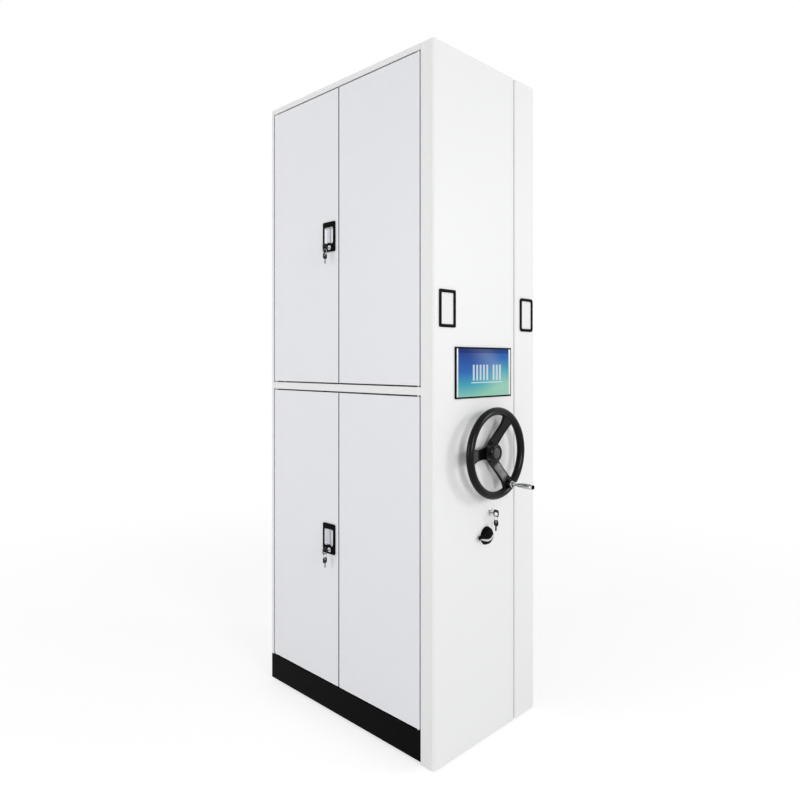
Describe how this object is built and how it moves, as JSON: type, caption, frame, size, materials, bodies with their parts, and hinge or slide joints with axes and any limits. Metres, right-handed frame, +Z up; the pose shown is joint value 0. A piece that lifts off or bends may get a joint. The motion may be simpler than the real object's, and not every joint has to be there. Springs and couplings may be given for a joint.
{
  "type": "compact_mobile_shelving",
  "caption": "Double-faced steel mobile shelving carriage with locking doors on one side, open shelves on the other, and an end panel with a spoked handwheel, brake knob, lock and screen.",
  "frame": {"origin": "on the floor under the middle of the object's bounding box", "axes": "+Z is up; +Y runs along the row from the end panel with the controls to the rear joining face; +X points from the door side to the open aisle side"},
  "size_m": [0.5964, 1.0304, 2.305],
  "materials": {
    "white_enamel": "powder coat, satin",
    "door_enamel": "powder coat, satin",
    "black_enamel": "powder coat, satin",
    "black_plastic": "moulded, fine grain",
    "grey_plastic": "moulded, satin",
    "chrome": "plated, polished",
    "zinc_steel": "zinc plated",
    "cast_iron": "turned and oiled",
    "dark_glass": "screen glass over a lit display"
  },
  "bodies": {
    "carriage": {"left_base_beam": "black_enamel", "right_base_beam": "black_enamel", "front_wheel_beam": "black_enamel", "rear_wheel_beam": "black_enamel", "drive_bearing_front": "zinc_steel", "drive_bearing_rear": "zinc_steel", "idle_bearing_front": "zinc_steel", "idle_bearing_rear": "zinc_steel", "front_wall": "white_enamel", "rear_wall": "white_enamel", "base_deck": "white_enamel", "centre_partition": "white_enamel", "top_panel": "white_enamel", "door_side_shelf_1": "white_enamel", "door_side_shelf_2": "white_enamel", "door_side_shelf_3": "white_enamel", "door_side_shelf_4": "white_enamel", "door_side_shelf_5": "white_enamel", "aisle_side_shelf_1": "white_enamel", "aisle_side_shelf_2": "white_enamel", "aisle_side_shelf_3": "white_enamel", "aisle_side_shelf_4": "white_enamel", "aisle_side_shelf_5": "white_enamel", "main_end_panel": "white_enamel", "side_end_panel": "white_enamel", "left_label_frame": "black_plastic", "right_label_frame": "black_plastic", "screen_housing": "black_plastic", "screen_glass": "dark_glass", "drive_chain": "zinc_steel", "shaft_bearing": "cast_iron", "brake_escutcheon": "black_plastic", "panel_lock_barrel": "chrome"},
    "drive_axle": {"drive_axle": "zinc_steel", "drive_wheel_front": "cast_iron", "drive_wheel_rear": "cast_iron", "lower_sprocket": "cast_iron"},
    "idle_axle": {"idle_axle": "zinc_steel", "idle_wheel_front": "cast_iron", "idle_wheel_rear": "cast_iron"},
    "handwheel": {"handwheel": "black_plastic", "hub_cap": "grey_plastic", "crank_pivot": "chrome", "handwheel_shaft": "zinc_steel", "upper_sprocket": "cast_iron"},
    "crank": {"crank_spindle": "chrome"},
    "grip": {"crank_grip": "chrome"},
    "brake": {"brake_knob": "black_plastic"},
    "panel_lock": {"panel_lock_plug": "chrome"},
    "panel_spare_key": {"panel_lock_spare_key": "zinc_steel"},
    "upper_front_door": {"upper_front_door": "door_enamel"},
    "upper_rear_door": {"upper_rear_door": "door_enamel", "upper_door_lock_plate": "black_plastic"},
    "upper_lock": {"upper_door_lock_plug": "chrome"},
    "upper_spare_key": {"upper_door_lock_spare_key": "zinc_steel"},
    "lower_front_door": {"lower_front_door": "door_enamel"},
    "lower_rear_door": {"lower_rear_door": "door_enamel", "lower_door_lock_plate": "black_plastic"},
    "lower_lock": {"lower_door_lock_plug": "chrome"},
    "lower_spare_key": {"lower_door_lock_spare_key": "zinc_steel"}
  },
  "joints": [
    {"name": "drive_axle_spin", "type": "hinge", "parent": "carriage", "child": "drive_axle", "pos_m": [-0.17675, 0, 0.04924], "axis": [0, -1, 0], "continuous": true},
    {"name": "idle_axle_spin", "type": "hinge", "parent": "carriage", "child": "idle_axle", "pos_m": [0.21325, 0, 0.04924], "axis": [0, -1, 0], "continuous": true},
    {"name": "handwheel_spin", "type": "hinge", "parent": "carriage", "child": "handwheel", "pos_m": [-0.00025, -0.36085, 0.982], "axis": [0, -1, 0], "continuous": true},
    {"name": "crank_fold", "type": "hinge", "parent": "handwheel", "child": "crank", "pos_m": [0.06325, -0.43715, 0.87201], "axis": [-0.866, 0, -0.5], "range_deg": [0, 90]},
    {"name": "grip_spin", "type": "hinge", "parent": "crank", "child": "grip", "pos_m": [0.06325, -0.43715, 0.87201], "axis": [0, -1, 0], "continuous": true},
    {"name": "brake_turn", "type": "hinge", "parent": "carriage", "child": "brake", "pos_m": [0.00725, -0.36085, 0.696], "axis": [0, -1, 0], "range_deg": [0, 90]},
    {"name": "panel_lock_turn", "type": "hinge", "parent": "carriage", "child": "panel_lock", "pos_m": [0.03225, -0.36085, 0.771], "axis": [0, -1, 0], "range_deg": [0, 90]},
    {"name": "panel_spare_key_swing", "type": "hinge", "parent": "panel_lock", "child": "panel_spare_key", "pos_m": [0.03225, -0.38485, 0.7605], "axis": [0, -1, 0], "range_deg": [-90, 0]},
    {"name": "upper_front_door_swing", "type": "hinge", "parent": "carriage", "child": "upper_front_door", "pos_m": [-0.25475, -0.29085, 1.7462], "axis": [0, 0, 1], "range_deg": [0, 110]},
    {"name": "upper_rear_door_swing", "type": "hinge", "parent": "carriage", "child": "upper_rear_door", "pos_m": [-0.25475, 0.48815, 1.7462], "axis": [0, 0, -1], "range_deg": [0, 110]},
    {"name": "upper_lock_turn", "type": "hinge", "parent": "upper_rear_door", "child": "upper_lock", "pos_m": [-0.26175, 0.14415, 1.7062], "axis": [-1, 0, 0], "range_deg": [0, 90]},
    {"name": "upper_spare_key_swing", "type": "hinge", "parent": "upper_lock", "child": "upper_spare_key", "pos_m": [-0.28775, 0.14415, 1.6957], "axis": [-1, 0, 0], "range_deg": [-90, 0]},
    {"name": "lower_front_door_swing", "type": "hinge", "parent": "carriage", "child": "lower_front_door", "pos_m": [-0.25475, -0.29085, 0.6452], "axis": [0, 0, 1], "range_deg": [0, 110]},
    {"name": "lower_rear_door_swing", "type": "hinge", "parent": "carriage", "child": "lower_rear_door", "pos_m": [-0.25475, 0.48815, 0.6452], "axis": [0, 0, -1], "range_deg": [0, 110]},
    {"name": "lower_lock_turn", "type": "hinge", "parent": "lower_rear_door", "child": "lower_lock", "pos_m": [-0.26175, 0.14415, 0.6012], "axis": [-1, 0, 0], "range_deg": [0, 90]},
    {"name": "lower_spare_key_swing", "type": "hinge", "parent": "lower_lock", "child": "lower_spare_key", "pos_m": [-0.28775, 0.14415, 0.5907], "axis": [-1, 0, 0], "range_deg": [-90, 0]}
  ],
  "couplings": [
    {"joint": "idle_axle_spin", "follows": "drive_axle_spin", "ratio": 1},
    {"joint": "handwheel_spin", "follows": "drive_axle_spin", "ratio": 1.5},
    {"joint": "panel_spare_key_swing", "follows": "panel_lock_turn", "ratio": -1},
    {"joint": "upper_spare_key_swing", "follows": "upper_lock_turn", "ratio": -1},
    {"joint": "lower_spare_key_swing", "follows": "lower_lock_turn", "ratio": -1}
  ]
}
